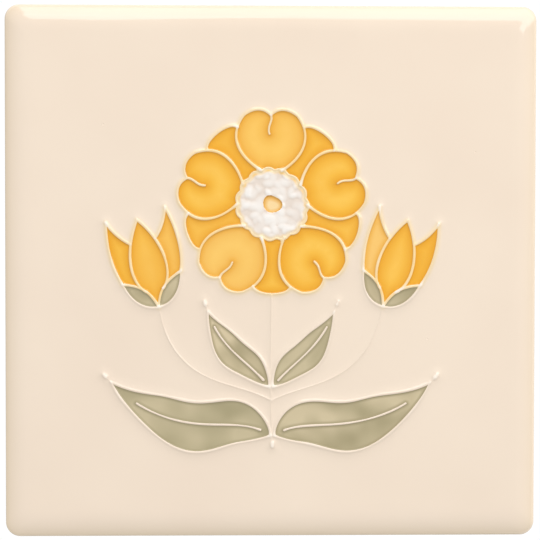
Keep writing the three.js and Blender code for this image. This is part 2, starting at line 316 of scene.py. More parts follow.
def petal_curve(axis, stops, side=1):
    """Control points of one curve of the petal on the given axis. side is 1 or -1."""
    angles = [axis + math.radians(side * degrees) for _, degrees in stops]
    rays = np.array([(math.cos(angle), math.sin(angle)) for angle in angles])
    radii = np.array([share * ROSETTE_RADIUS for share, _ in stops])
    return radii[:, None] * rays + (0, ROSETTE_RISE)


def rear_petal(axis):
    """The tip of a rear petal, which shows between two front ones and ends on their lines."""
    halfway = math.pi / PETAL_COUNT
    start = on_curve(petal_curve(axis - halfway, PETAL_SIDE), REAR_PETAL_ROOT)[0]
    end = on_curve(petal_curve(axis + halfway, PETAL_SIDE, -1), REAR_PETAL_ROOT)[0]
    return np.array([start, *petal_curve(axis, REAR_PETAL_CROWN), end])


def bud_point(x, y):
    """A point of the right-hand bud, in shares of its width and length from its base."""
    turn = math.radians(-BUD_TILT)
    across, along = x * BUD_WIDTH, y * BUD_LENGTH
    return np.array([
        BUD_SPREAD + across * math.cos(turn) - along * math.sin(turn),
        -BUD_DROP + across * math.sin(turn) + along * math.cos(turn),
    ])


BUD_FOOT = bud_point(0, -0.09)


def bud_curves(side):
    """One side of the right-hand bud: sepal under and over, middle petal, side petal out and in."""

    def stop(x, y):
        return bud_point(side * x, y)

    tip = stop(0.47, 1)
    sepal_tip = stop(0.46, 0.26)
    sepal_under = np.array([BUD_FOOT, stop(0.2, -0.1), stop(0.4, 0.02), sepal_tip])
    sepal_top = np.array([sepal_tip, stop(0.26, 0.2), stop(0.08, 0.14), BUD_FOOT])
    middle = np.array([on_curve(sepal_top, 0.62)[0], stop(0.33, 0.22), stop(0.34, 0.6), stop(0, 0.93)])
    outside = np.array([sepal_tip, stop(0.57, 0.5), stop(0.56, 0.74), tip])
    inside = np.array([tip, stop(0.42, 0.88), stop(0.32, 0.76), on_curve(middle, 0.75)[0]])
    return sepal_under, sepal_top, middle, outside, inside


def side_stem():
    """From the fork to the base of the right-hand bud."""
    fork = np.array([0, -FORK_DROP])
    climb = BUD_FOOT[1] - fork[1]
    low = np.array([0.4 * BUD_FOOT[0], fork[1] + 0.25 * climb])
    high = np.array([0.87 * BUD_FOOT[0], fork[1] + 0.2 * climb])
    return np.array([fork, low, high, BUD_FOOT])


def main_stem():
    """From the rosette's lowest rear petal to the foot, in a slight S."""
    top = on_curve(rear_petal(-math.pi / 2), 0.5)[0]
    sway = LINE_WIDTH / 2
    fall = top[1] + STEM_FOOT
    return np.array([top, (sway, top[1] - fall / 3), (-sway, top[1] - 2 * fall / 3), (0, -STEM_FOOT)])


def leaf_paths(leaf):
    """Both edges, the midrib, the tail and the tail's drop of a pointed leaf to the right of the stem."""
    reach, rise = leaf["reach"], leaf["rise"]
    root = np.array([LINE_WIDTH / 2, -leaf["drop"]])
    tip = np.array([reach, rise - leaf["drop"]])
    controls = [root, *(root + np.array([x * reach, y * rise]) for x, y in leaf["bend"]), tip]
    shares = np.linspace(0, 1, LEAF_STEPS + 1)
    spine = on_curve(controls, shares)
    ahead = np.gradient(spine, axis=0)
    ahead /= np.linalg.norm(ahead, axis=1)[:, None]
    aside = np.stack([-ahead[:, 1], ahead[:, 0]], 1)
    half = 0.5 * leaf["width"] * np.maximum(0, np.sin(math.pi * shares**0.85)) ** 0.9
    edges = []
    for side, phase in ((1, 0.0), (-1, 2.4)):
        wave = 1 + leaf["swell"] * np.sin(3 * math.pi * shares + phase)
        edges.append(spine + side * aside * (half * wave)[:, None])
    tail = np.array([tip, tip + TAIL_LENGTH * ahead[-1]])
    drop = np.array([tail[1] - DROP_LENGTH * ahead[-1], tail[1]])
    return edges, spine[MIDRIB], tail, drop


# Each part of the motif gives its slip lines, as (path, share of a full line), and its glaze cells, as
# (outline, glaze). A point takes the first cell that it lies in, so what is in front comes first.


def eye():
    return [(eye_outline(), FINE_LINE)], [(well_outline(), "well"), (eye_outline(), "white")]


def front_petals():
    """Heart-shaped petals, each with a crease that runs on from its notch."""
    lines, cells = [], []
    for axis in map(petal_axis, range(PETAL_COUNT)):
        halves = [
            path_along(petal_curve(axis, PETAL_SIDE, side), petal_curve(axis, PETAL_LOBE, side))
            for side in (1, -1)
        ]
        lines += [(half, 1) for half in halves]
        lines.append((path_along(petal_curve(axis, PETAL_CREASE)), FINE_LINE))
        cells.append((np.vstack([halves[0], halves[1][::-1], (0, ROSETTE_RISE)]), "amber"))
    return lines, cells


def rear_petals():
    paths = [path_along(rear_petal(petal_axis(number + 0.5))) for number in range(PETAL_COUNT)]
    return [(path, 1) for path in paths], [(np.vstack([path, (0, ROSETTE_RISE)]), "amber") for path in paths]


def leaves():
    lines, cells = [], []
    for leaf in (FOOT_LEAF, STEM_LEAF):
        edges, midrib, tail, drop = leaf_paths(leaf)
        for turn in (np.array, mirrored):
            cells.append((turn(np.vstack([edges[0], edges[1][::-1]])), "sage"))
            lines += [(turn(edge), 1) for edge in edges]
            lines += [(turn(midrib), FINE_LINE), (turn(tail), FINE_LINE), (turn(drop), DROP_SHARE)]
    return lines, cells


def buds():
    """Both buds on their stems: two sepals, the middle petal and a petal on each side."""
    lines, cells = [], []
    sides = [bud_curves(side) for side in (1, -1)]
    halves = [path_along(middle_petal) for _, _, middle_petal, _, _ in sides]
    for turn in (np.array, mirrored):
        for sepal_under, sepal_top, *_ in sides:
            cells.append((turn(path_along(sepal_under, sepal_top)), "sage"))
        cells.append((turn(np.vstack([[BUD_FOOT], halves[0], halves[1][::-1]])), "amber"))
        for *_, outside, inside in sides:
            bud_axis = [bud_point(0, 0.6), bud_point(0, 0)]
            cells.append((turn(np.vstack([path_along(outside, inside), bud_axis])), "amber"))
        for curves in sides:
            lines += [(turn(path_along(controls)), 1) for controls in curves]
        lines.append((turn(path_along(side_stem())), STEM_LINE))
    return lines, cells


def stem():
    drop = np.array([(0, DROP_LENGTH - STEM_FOOT), (0, -STEM_FOOT)])
    return [(path_along(main_stem()), STEM_LINE), (drop, DROP_SHARE)], []


def motif():
    """All slip lines and glaze cells, as the hand draws them."""
    parts = (eye(), front_petals(), leaves(), buds(), rear_petals(), stem())
    lines = [(hand_drawn(path), share) for lines, _ in parts for path, share in lines]
    cells = [(hand_drawn(outline), glaze) for _, cells in parts for outline, glaze in cells]
    return lines, cells


def dab_places():
    """Where the brush dabbed the white of the eye, and each dab's turn, length and thickness."""
    grid = hexagonal(np.full(2, -EYE_RADIUS), np.full(2, EYE_RADIUS), DAB_SPACING)
    grid += random.normal(0, DAB_SCATTER * DAB_SPACING, grid.shape)
    turns = random.uniform(0, math.pi, len(grid))
    lengths = random.uniform(*DAB_LENGTHS, len(grid))
    shares = random.uniform(*DAB_SHARES, len(grid))
    return list(zip(grid + (0, ROSETTE_RISE), turns, lengths, shares))


LINES, CELLS = motif()
COARSE_LINES = [(evenly(path, COARSE_STEP), share) for path, share in LINES]
CELL_GLAZES = np.array([glaze for _, glaze in CELLS] + ["cream"])  # the last is for points in no cell
EYE = hand_drawn(eye_outline())
WELL = hand_drawn(well_outline())
PITS = random.uniform(-PIT_SPREAD, PIT_SPREAD, (PIT_COUNT, 2)) * (TILE_WIDTH, TILE_HEIGHT)
DABS = dab_places()


def distance_to(points, path):
    """Each point's distance to a path, how far along the path its nearest place is, and how squarely the
    point lies above that place: 1 for right above it and -1 for right below."""
    start, step = path[:-1], np.diff(path, axis=0)
    length = np.maximum(np.linalg.norm(step, axis=1), TINY)
    way = np.concatenate([[0], np.cumsum(length)])
    offset = points[:, None] - start[None]
    share = np.clip((offset * step).sum(2) / length**2, 0, 1)
    away = offset - share[:, :, None] * step
    gap = np.linalg.norm(away, axis=2)
    nearest = gap.argmin(1)
    rows = np.arange(len(points))
    gap = gap[rows, nearest]
    above = away[rows, nearest, 1] / np.maximum(gap, TINY)
    return gap, way[nearest] + share[rows, nearest] * length[nearest], above


def within(points, path, reach):
    """Indices of the points that lie in the path's box, widened by reach."""
    low, high = path.min(0) - reach, path.max(0) + reach
    return np.nonzero(((points >= low) & (points <= high)).all(1))[0]


def is_inside(points, outline):
    """Whether each point lies inside a closed outline, by the even-odd rule."""
    found = np.zeros(len(points), bool)
    x, y = points[:, 0], points[:, 1]
    for (x1, y1), (x2, y2) in zip(outline, np.roll(outline, -1, 0)):
        if y1 == y2:
            continue
        crosses = (y1 > y) != (y2 > y)
        found ^= crosses & (x < (x2 - x1) * (y - y1) / (y2 - y1) + x1)
    return found


def smooth_max(a, b, softness):
    return 0.5 * (a + b + np.sqrt((a - b) ** 2 + softness**2))


def smooth_step(low, high, x):
    t = np.clip((x - low) / (high - low), 0, 1)
    return t * t * (3 - 2 * t)


def thickness(way, number):
    """How thick the hand left a line, as a share of its usual size: a bead where it starts, then waves."""
    size = 1 + BEAD_SHARE * np.exp(-((way / BEAD_LENGTH) ** 2))
    for turn, (share, length) in enumerate(LINE_WAVES, 1):
        size = size + share * np.sin(way / length + turn * number)
    return size


def lines_near(points, reach=REACH):
    """What the slip lines do at each point.

    ridge and skirt are the heights of the lines and of the ground glaze drawn up to them, gap is the
    distance to the nearest line's middle, across is the same as a share of that line's size, and above
    is how squarely the point lies above that line.
    """
    near = {name: np.zeros(len(points)) for name in ("ridge", "skirt", "above")}
    near |= {name: np.full(len(points), reach) for name in ("gap", "across")}
    for number, (path, share) in enumerate(COARSE_LINES):
        some = within(points, path, reach)
        if not len(some):
            continue
        gap, way, above = distance_to(points[some], path)
        size = thickness(way, number)
        rise = min(share, DROP_RISE) * size
        x = np.clip(gap / (share * size * LINE_FOOT), 0, 1)
        ridge = rise * RIDGE_HEIGHT * (0.5 + 0.5 * np.cos(math.pi * x**RIDGE_FULLNESS))
        skirt = rise * SKIRT_HEIGHT * np.exp(-((gap / SKIRT_WIDTH) ** SKIRT_FULLNESS))
        near["ridge"][some] += ridge**JOIN_POWER
        near["skirt"][some] += skirt**JOIN_POWER
        near["above"][some] = np.where(gap < near["gap"][some], above, near["above"][some])
        near["gap"][some] = np.minimum(near["gap"][some], gap)
        near["across"][some] = np.minimum(near["across"][some], gap / (share * size))
    near["ridge"] **= 1 / JOIN_POWER
    near["skirt"] **= 1 / JOIN_POWER
    return near


def cell_field(points):
    """Number of the glaze cell that each point lies in, or -1, and how much amber tints it: partly amber run
    onto it, partly painted warm light thrown back from the amber.
    """
    cell = np.full(len(points), -1)
    amber_stain_and_bounce = np.zeros(len(points))
    for number, (outline, glaze) in enumerate(CELLS):
        some = within(points, outline, AMBER_STAIN_AND_BOUNCE_REACH)
        inner = is_inside(points[some], outline)
        free = cell[some] < 0
        cell[some[inner & free]] = number
        if glaze == "amber":
            closed = evenly(np.vstack([outline, outline[:1]]), COARSE_STEP)
            gap, *_ = distance_to(points[some], closed)
            gap[inner] = 0
            amber_stain_and_bounce[some] += np.clip(1 - gap / AMBER_STAIN_AND_BOUNCE_REACH, 0, 1) ** 1.5
    return cell, np.minimum(amber_stain_and_bounce, 2)


def swell(points):
    """Slow waves of the fired face, so that its reflections aren't ruler-straight."""
    x, y = points[:, 0], points[:, 1]
    return SWELL_HEIGHT * (
        0.5 * np.sin(x / 8.7 + 0.7 * np.sin(y / 13) + 0.4)
        + 0.5 * np.sin(y / 7.9 + 0.8 * np.sin(x / 11) + 2.1)
        + 0.4 * np.sin((x + y) / 4.7 + 1.1)
    )


def dabs(points):
    """Thickness of the dabbed white glaze: long soft lumps that run into each other, from 0 to about 1."""
    total = np.zeros(len(points))
    for centre, turn, length, share in DABS:
        offset = points - centre
        along = offset @ (math.cos(turn), math.sin(turn)) / length
        aside = offset @ (-math.sin(turn), math.cos(turn)) / (DAB_WIDTH * length)
        total += (share * np.maximum(0, 1 - along**2 - aside**2)) ** JOIN_POWER
    return total ** (1 / JOIN_POWER)


def gold_dots(points, rim_gap):
    """The spots of amber that show in the scallops, between the rim and the white of the eye."""
    angle = np.arctan2(points[:, 1] - ROSETTE_RISE, points[:, 0])
    in_scallop = np.abs(np.cos(angle * EYE_SCALLOPS / 2)) ** 3
    spot = np.exp(-(((rim_gap - GOLD_GAP) / GOLD_SIZE) ** 2))
    return spot * (0.3 + 0.7 * in_scallop) * (0.7 + 0.3 * np.sin(angle))


def eye_relief(points, ridge, gap, in_well):
    """The relief of the eye: dabbed white inside a scalloped line, round the hollow of the well."""
    lump = dabs(points)
    inwards = smooth_step(*DABS_START, gap)
    dabbed = EYE_HEIGHT - EYE_RIM_DROP * (1 - inwards) + DAB_HEIGHT * (lump - 0.5) * inwards
    well_gap, *_ = distance_to(points, WELL)
    sink = smooth_step(*WELL_LIP, np.where(in_well, well_gap, -well_gap))
    # Painted light and shade: the well's colour counts from a rim that seems further at its foot and nearer
    # at its top, as if light fell from the top.
    painted_light_in_well = np.clip((ROSETTE_RISE - points[:, 1]) / WELL_RADIUS, -1, 1)
    return {
        "height": smooth_max(ridge, dabbed, GLAZE_JOIN) * (1 - sink) + (EYE_HEIGHT - WELL_DEPTH) * sink,
        "line_mm": np.where(in_well, well_gap * (1 + WELL_PAINTED_LIGHT_AND_SHADE * painted_light_in_well), gap),
        "lump": lump,
        "gold": gold_dots(points, gap),
    }


def relief(points):
    """Height of the glazed surface above the flat of the face, with what the glazes need to know."""
    near = lines_near(points, DEPTH_REACH)
    ridge, gap = near["ridge"], near["gap"]
    cell, amber_stain_and_bounce = cell_field(points)
    glaze = CELL_GLAZES[cell]
    rim = (POOL_RIM - POOL_FLOOR) * (1 - POOL_SAG * np.maximum(0, -near["above"]))
    pool = POOL_FLOOR + rim * np.exp(-np.maximum(gap - LINE_EDGE, 0) / POOL_SPREAD)
    in_pool = (glaze == "amber") | (glaze == "sage")
    found = {
        "height": smooth_max(ridge, np.where(in_pool, pool, near["skirt"]), GLAZE_JOIN),
        "line_mm": gap.copy(),
        "amber_stain_and_bounce": amber_stain_and_bounce,
        "lump": np.zeros(len(points)),
        "gold": np.zeros(len(points)),
        "slip": np.clip((ridge / RIDGE_HEIGHT - BARE_SLIP) / BARE_FADE, 0, 1),
    }
    in_eye = (glaze == "white") | (glaze == "well")
    in_well = glaze[in_eye] == "well"
    for name, values in eye_relief(points[in_eye], ridge[in_eye], gap[in_eye], in_well).items():
        found[name][in_eye] = values
    for centre in PITS:
        radii = np.linalg.norm(points - centre, axis=1) / PIT_RADIUS
        pit_rim = PIT_RIM * np.exp(-(((radii - PIT_RIM_PLACE) / PIT_RIM_WIDTH) ** 2))
        found["height"] += PIT_DEPTH * (pit_rim - np.exp(-(radii**2)))
    found["height"] += swell(points)
    return found


def rounded_ring(width, height, radius, corner_steps, side_steps):
    """A rectangle with round corners, anticlockwise, always with the same number of points."""

    def corner_point(quarter, share):
        side_x, side_y = ((1, 1), (-1, 1), (-1, -1), (1, -1))[quarter % 4]
        centre = np.array([side_x * (width / 2 - radius), side_y * (height / 2 - radius)])
        angle = math.pi / 2 * (quarter + share)
        return centre + radius * np.array([math.cos(angle), math.sin(angle)])

    ring = []
    for quarter in range(4):
        ring += [corner_point(quarter, i / corner_steps) for i in range(corner_steps + 1)]
        start, end = ring[-1], corner_point(quarter + 1, 0)
        ring += [start + (end - start) * i / side_steps for i in range(1, side_steps)]
    return np.array(ring)


def body_ring(inset):
    """The tile's outline, that far in from its sides."""
    radius = np.interp(inset, [0, EDGE_ROLL_WIDTH], [CORNER_RADIUS, FACE_CORNER_RADIUS])
    width, height = TILE_WIDTH - 2 * inset, TILE_HEIGHT - 2 * inset
    return rounded_ring(width, height, radius, CORNER_STEPS, SIDE_STEPS)


def rings_round(centre, radii, step):
    """A point with rings of points round it."""
    parts = [centre[None]]
    for radius in radii:
        angle = np.linspace(0, 2 * math.pi, max(6, int(2 * math.pi * radius / step)), endpoint=False)
        parts.append(centre + radius * np.stack([np.cos(angle), np.sin(angle)], 1))
    return np.vstack(parts)


def rows_beside(path, share, number):
    """Points in rows along a line and in rings round its ends, each with its distance from the middle."""
    path = evenly(path, LINE_STEP)
    ahead = np.gradient(path, axis=0)
    way = LINE_STEP * np.arange(len(path))
    ahead /= np.linalg.norm(ahead, axis=1)[:, None]
    aside = np.stack([-ahead[:, 1], ahead[:, 0]], 1)
    size = share * thickness(way, number)
    offsets = [0.0] + [side * row for row in ROWS for side in (1, -1)]
    parts = [path + offset * size[:, None] * aside for offset in offsets]
    gaps = [abs(offset) * size for offset in offsets]
    for i in (0, -1):
        ring = rings_round(path[i], size[i] * np.array(ROWS), LINE_STEP)
        parts.append(ring)
        gaps.append(np.linalg.norm(ring - path[i], axis=1))
    return np.vstack(parts), np.concatenate(gaps)


def points_beside_lines():
    """Rows beside every line, but for the points that another line is nearer to."""
    rows = [rows_beside(path, share, number) for number, (path, share) in enumerate(LINES)]
    points = np.vstack([row for row, _ in rows])
    gaps = np.concatenate([gap for _, gap in rows])
    nearest = lines_near(points, DROP_SHARE * REACH)["gap"]
    kept = (nearest > gaps - ROW_SLACK) & (~is_inside(points, EYE) | (nearest < EYE_ROWS_END))
    return points[kept]


def points_in_eye():
    """A fine grid between the eye's rim and its well, and rows round the well."""
    low = np.array([-EYE_RADIUS, ROSETTE_RISE - EYE_RADIUS])
    grid = hexagonal(low - EYE_MARGIN, low + 2 * EYE_RADIUS + EYE_MARGIN, DAB_STEP)
    well_gap, *_ = distance_to(grid, WELL)
    clear = (lines_near(grid)["gap"] > EYE_GRID_START) & (well_gap > WELL_ROWS_END)
    grid = grid[is_inside(grid, EYE) & clear]
    rows, _ = rows_beside(WELL, 1, 0)
    well_gap, *_ = distance_to(rows, WELL)
    return np.vstack([grid, rows[well_gap < WELL_ROWS_END]])


def points_of_field(half):
    """Grids over the rest of the face, finer near the lines."""
    parts = []
    for step, low, high in FIELD_GRIDS:
        grid = hexagonal(-half, half, step)
        gap = lines_near(grid, NEAR_REACH + 1)["gap"]
        parts.append(grid[(gap > low) & (gap < high) & ~is_inside(grid, EYE)])
    return np.vstack(parts)


def face_points(border):
    """All points of the face inside its border."""
    half = border.max(0) - 0.5 * FIELD_STEP
    pits = [rings_round(centre, PIT_RINGS, PIT_STEP) for centre in PITS]
    points = np.vstack([points_beside_lines(), points_in_eye(), *pits, points_of_field(half)])
    _, first = np.unique(np.round(points / MERGE_CELL).astype(int), axis=0, return_index=True)
    points = points[np.sort(first)]
    return points[(np.abs(points) < half).all(1)]


def triangulate(points, edges, loops, output):
    """Triangles over the points that keep to the edges and loops, which are lists of indices."""
    flat = [Vector(point) for point in points]
    _, _, faces, origins, _, _ = delaunay_2d_cdt(flat, edges, loops, output, SAME_POINT, True)
    back = [own[0] for own in origins]
    return [[back[i] for i in face] for face in faces]


def band(above, below):
    """Faces between two closed rows of points, given by their indices."""
    corners = zip(above, below, below[1:] + below[:1], above[1:] + above[:1])
    return [list(face) for face in corners]


class Surface:
    """The tile's mesh while it is put together: points, faces and what each of them carries."""

    def __init__(self):
        self.points = []
        self.faces = []
        self.finishes = []
        self.tones = []
        self.fields = {"line_mm": [], "amber_stain_and_bounce": [], "lump": [], "gold": [], "slip": []}

    def add_points(self, points, fields=None):
        """Adds points and returns their indices. Without fields, they lie far from any line."""
        first = len(self.points)
        self.points += [tuple(point) for point in points]
        for name, values in self.fields.items():
            plain = DEPTH_REACH if name == "line_mm" else 0.0
            values += list(fields[name]) if fields else [plain] * len(points)
        return list(range(first, len(self.points)))

    def add_faces(self, faces, finishes, tones=None):
        """Adds faces, all with one finish or each with its own."""
        self.faces += faces
        self.finishes += [finishes] * len(faces) if isinstance(finishes, str) else finishes
        self.tones += tones or [0.0] * len(faces)


def add_face(surface):
    """The glazed face inside the rolled edge. Returns the indices of its border."""
    border = body_ring(EDGE_ROLL_WIDTH)
    points = np.vstack([border, face_points(border)])
    found = relief(points)
    own = surface.add_points(np.column_stack([points, FACE_LEVEL + found["height"]]), found)
    faces = triangulate(points, [], [list(range(len(border)))], INSIDE_LOOPS)
    middles = points[np.array(faces)].mean(1)
    cell, _ = cell_field(middles)
    finishes = CELL_GLAZES[cell]
    on_line = lines_near(middles)["across"] < LINE_EDGE
    finishes[on_line & (finishes != "well")] = "cream"
    tones = random.uniform(-1, 1, len(CELLS) + 1)[cell]
    surface.add_faces([[own[i] for i in face] for face in faces], finishes.tolist(), tones.tolist())
    return own[: len(border)]


def section():
    """The tile's section, step by step, from the flat of the face down to the back.

    A step is its inset, its height, how much it follows the swell of the face, how much it follows the
    wave in which the glaze ends, and its finish.
    """
    steps = []
    for degrees in range(90 - ROLL_STEP, -1, -ROLL_STEP):
        turn = math.radians(degrees)
        inset = EDGE_ROLL_WIDTH * (1 - math.cos(turn))
        z = FACE_LEVEL - EDGE_ROLL_DROP * (1 - math.sin(turn))
        steps.append((inset, z, inset / EDGE_ROLL_WIDTH, 0, "cream"))
    side_top, lip_top = FACE_LEVEL - EDGE_ROLL_DROP, SIDE_GLAZE_END + LIP_PROFILE[0][1]
    steps += [(0, z, 0, 0.5, "cream") for z in np.linspace(side_top, lip_top, 5)[1:-1]]
    steps += [(inset, SIDE_GLAZE_END + above, 0, 1, "cream") for inset, above in LIP_PROFILE]
    return steps + [
        (GLAZE_LIP, SIDE_GLAZE_END - CLAY_START, 0, 1, "biscuit"),
        (GLAZE_LIP, BACK_ARRIS, 0, 0, "biscuit"),
        (0.4 * BACK_ARRIS, 0.25 * BACK_ARRIS, 0, 0, "biscuit"),
        (BACK_ARRIS, 0, 0, 0, "biscuit"),
    ]


def glaze_end_wave(ring):
    """How far the end of the glaze strays up and down along the sides."""
    return sum(
        height * np.sin(ring @ way / length + start) for height, way, length, start in GLAZE_END_WAVES
    )


def add_edge(surface, border):
    """The rolled edge, the side and the back's bevel, ring by ring. Returns the last ring's indices."""
    above = border
    for inset, z, swelling, waving, finish_name in section():
        ring = body_ring(inset)
        wave = swelling * swell(ring) + waving * glaze_end_wave(ring)
        below = surface.add_points(np.column_stack([ring, z + wave]))
        surface.add_faces(band(above, below), finish_name)
        above = below
    return above


def recess_rings():
    """The outlines of each recess of the key, from its mouth to its floor."""
    width = (TILE_WIDTH - 2 * KEY_RIM - (KEY_COLUMNS - 1) * KEY_RIB) / KEY_COLUMNS
    height = (TILE_HEIGHT - 2 * KEY_RIM - (KEY_ROWS - 1) * KEY_RIB) / KEY_ROWS
    for column in range(KEY_COLUMNS):
        for row in range(KEY_ROWS):
            centre = np.array([
                (column - (KEY_COLUMNS - 1) / 2) * (width + KEY_RIB),
                (row - (KEY_ROWS - 1) / 2) * (height + KEY_RIB),
            ])
            rings = []
            for inset, z in KEY_WALL:
                size = width - 2 * inset, height - 2 * inset, KEY_CORNER_RADIUS - inset
                ring = rounded_ring(*size, KEY_CORNER_STEPS, KEY_SIDE_STEPS)
                rings.append(np.column_stack([ring + centre, np.full(len(ring), z)]))
            yield rings


def add_back(surface, border):
    """The bare back: the walls and floors of the key's recesses, and the flat between them."""
    loops = [border]
    for rings in recess_rings():
        rows = [surface.add_points(ring) for ring in rings]
        for above, below in zip(rows, rows[1:]):
            surface.add_faces(band(above, below), "biscuit")
        surface.add_faces([rows[-1][::-1]], "biscuit")
        loops.append(rows[0])
    indices = [i for loop in loops for i in loop]
    points = np.array([surface.points[i][:2] for i in indices])
    ends = np.cumsum([len(loop) for loop in loops])
    own = [list(range(end - len(loop), end)) for end, loop in zip(ends, loops)]
    edges = [edge for loop in own for edge in zip(loop, loop[1:] + loop[:1])]
    faces = triangulate(points, edges, [], WHOLE_HULL)
    middles = points[np.array(faces)].mean(1)
    in_recess = np.any([is_inside(middles, points[loop]) for loop in own[1:]], axis=0)
    flat = [face for face, recessed in zip(faces, in_recess) if not recessed]
    surface.add_faces([[indices[i] for i in face][::-1] for face in flat], "biscuit")


def linear(hex_colour):
    """An sRGB hex colour as linear RGBA."""
    parts = [int(hex_colour[i : i + 2], 16) / 255 for i in (1, 3, 5)]
    return (*(c / 12.92 if c <= 0.04045 else ((c + 0.055) / 1.055) ** 2.4 for c in parts), 1.0)


def set_socket(owner, socket, value):
    """Gives a socket another node's output, a colour in sRGB hex or a plain value."""
    if isinstance(value, bpy.types.NodeSocket):
        owner.node_tree.links.new(value, socket)
    else:
        socket.default_value = linear(value) if isinstance(value, str) else value


def socket_of(sockets, name):
    """A node's socket by its identifier or, failing that, by its name."""
    exact = [socket for socket in sockets if socket.identifier == name]
    return exact[0] if exact else sockets[name]


def add_node(owner, kind, output, inputs=(), stops=(), **settings):
    """Adds a node with its settings and links to a material or the world, and returns one of its outputs."""
    node = owner.node_tree.nodes.new("ShaderNode" + kind)
    for name, value in settings.items():
        setattr(node, name, value)
    for name, value in dict(inputs).items():
        set_socket(owner, socket_of(node.inputs, name), value)
    if stops:
        ramp = node.color_ramp
        while len(ramp.elements) < len(stops):
            ramp.elements.new(1.0)
        for element, (place, colour) in zip(ramp.elements, stops):
            element.position = place
            element.color = linear(colour)
    return socket_of(node.outputs, output)


def clouds(material, size_mm, detail=2.0, shift_mm=0.0):
    """Soft blobs about size_mm across that keep their place on the tile, from 0 to 1."""
    place = add_node(material, "TexCoord", "Object")
    shift = (shift_mm * MM, shift_mm * MM, 0)
    moved = add_node(material, "Mapping", "Vector", {"Vector": place, "Location": shift})
    blobs = {"Vector": moved, "Scale": 1 / (size_mm * MM), "Detail": detail}
    return add_node(material, "TexNoise", "Fac", blobs)


def tint(owner, under, over, value, span, shares=(0.0, 1.0)):
    """Lays one colour over another, by the first share where the value is at the start of its span and by
    the second at its end. The value is a node's output or the name of one of the mesh's fields."""
    if isinstance(value, str):
        value = add_node(owner, "Attribute", "Fac", attribute_name=value)
    ends = {"From Min": span[0], "From Max": span[1], "To Min": shares[0], "To Max": shares[1]}
    factor = add_node(owner, "MapRange", "Result", {"Value": value, **ends})
    colours = {"Factor_Float": factor, "A_Color": under, "B_Color": over}
    return add_node(owner, "Mix", "Result_Color", colours, data_type="RGBA")


def pooled(material, stops):
    """The colour of a pool of glaze, with its stops in millimetres from the line it gathers against."""
    low, high = stops[0][0], stops[-1][0]
    gap = add_node(material, "Attribute", "Fac", attribute_name="line_mm")
    depth = add_node(material, "MapRange", "Result", {"Value": gap, "From Min": low, "From Max": high})
    shares = [((place - low) / (high - low), colour) for place, colour in stops]
    return add_node(material, "ValToRGB", "Color", {"Fac": depth}, shares)


def new_material(name, **values):
    """A material with these values on its shader's own sockets, which are named with underscores."""
    material = bpy.data.materials.new(name)
    material.use_nodes = True
    shader = material.node_tree.nodes["Principled BSDF"]
    for socket, value in values.items():
        set_socket(material, shader.inputs[socket.replace("_", " ")], value)
    return material


def finish(material, colour, size_mm, height_mm, detail=2.0):
    """Gives a material its colour, and fine waves or grain of a real size and height."""
    shader = material.node_tree.nodes["Principled BSDF"]
    waves = clouds(material, size_mm, detail, WAVE_SHIFT)
    bump = {"Height": waves, "Distance": height_mm * MM, "Strength": 1.0}
    set_socket(material, shader.inputs["Base Color"], colour)
    set_socket(material, shader.inputs["Normal"], add_node(material, "Bump", "Normal", bump))
    return material


def cream_glaze():
    """Cream glaze made opaque with tin, dipped and fired: a very glossy skin with the faintest waves. It is
    tinted warmer and a little darker on the rolled edge, it takes an amber tint beside a petal, partly amber
    run into it and partly painted warm light thrown back from the amber, and slip shows at beads and drops.
    """
    material = new_material("cream_tin_glaze", Roughness=0.035, IOR=1.65)
    even = tint(material, "#eedcc7", "#f1e0cb", clouds(material, 34), (0.3, 0.7))
    place = add_node(material, "TexCoord", "Object")
    height = add_node(material, "SeparateXYZ", "Z", {"Vector": place})
    side_top = FACE_LEVEL - EDGE_ROLL_DROP
    # The rolled edge is tinted warmer and a little darker on all four sides.
    edge_tinted = tint(material, even, "#eddabf", height, [(FACE_LEVEL - below) * MM for below in EDGE_TINT_SPAN])
    ground = tint(material, edge_tinted, even, height, (side_top * MM, (side_top - EDGE_TINT_END) * MM))
    # Partly painted light: the amber tint on the cream and lines beside a petal stands for amber run onto
    # them and for warm light thrown back from the amber.
    warm = tint(material, ground, "#f8dc9f", "amber_stain_and_bounce", (0, 1), (0, 0.7))
    stained = tint(material, warm, "#fad99a", "amber_stain_and_bounce", (1, 2))
    with_slip = tint(material, stained, "#fbefdf", "slip", (0, 1))
    return finish(material, with_slip, 5.0, 0.004)


def amber_glaze():
    """Honey-coloured iron glaze flooded between the lines: deep where it gathers by them, else pale."""
    material = new_material("amber_pooled_glaze", Roughness=0.05, IOR=1.55)
    deep = ((0.2, "#d9920e"), (0.51, "#e49e13"), (1.08, "#eeab1d"))
    shallow = ((2.62, "#f5ba36"), (DEPTH_REACH, "#fac64d"))
    colour = pooled(material, deep + shallow)
    varied = tint(material, colour, "#efa91c", clouds(material, 13, 1.0), (0.4, 0.7), (0, 0.4))
    pale = tint(material, varied, "#f8cb76", "tone", (0.1, 0.9), (0, 0.75))
    toned = tint(material, varied, pale, "line_mm", (0.2, 1.96), (0.3, 1))
    return finish(material, toned, 4.0, 0.004)


def sage_glaze():
    """Grey-green copper glaze, brushed on thinly, so that it dries in soft patches, with painted shade along
    the lines round it.
    """
    material = new_material("sage_brushed_glaze", Roughness=0.06, IOR=1.52)
    patched = tint(material, "#a59974", "#d4c4a0", clouds(material, 11, 1.0), (0.32, 0.64))
    # Painted shade: the sage is darker where it meets a line, as if in the line's shadow.
    shaded_by_lines = tint(material, "#a39672", patched, "line_mm", (LINE_EDGE, 1.2))
    toned = tint(material, shaded_by_lines, "#aba27e", "tone", (0.1, -0.9), (0, 0.4))
    return finish(material, toned, 4.0, 0.004)


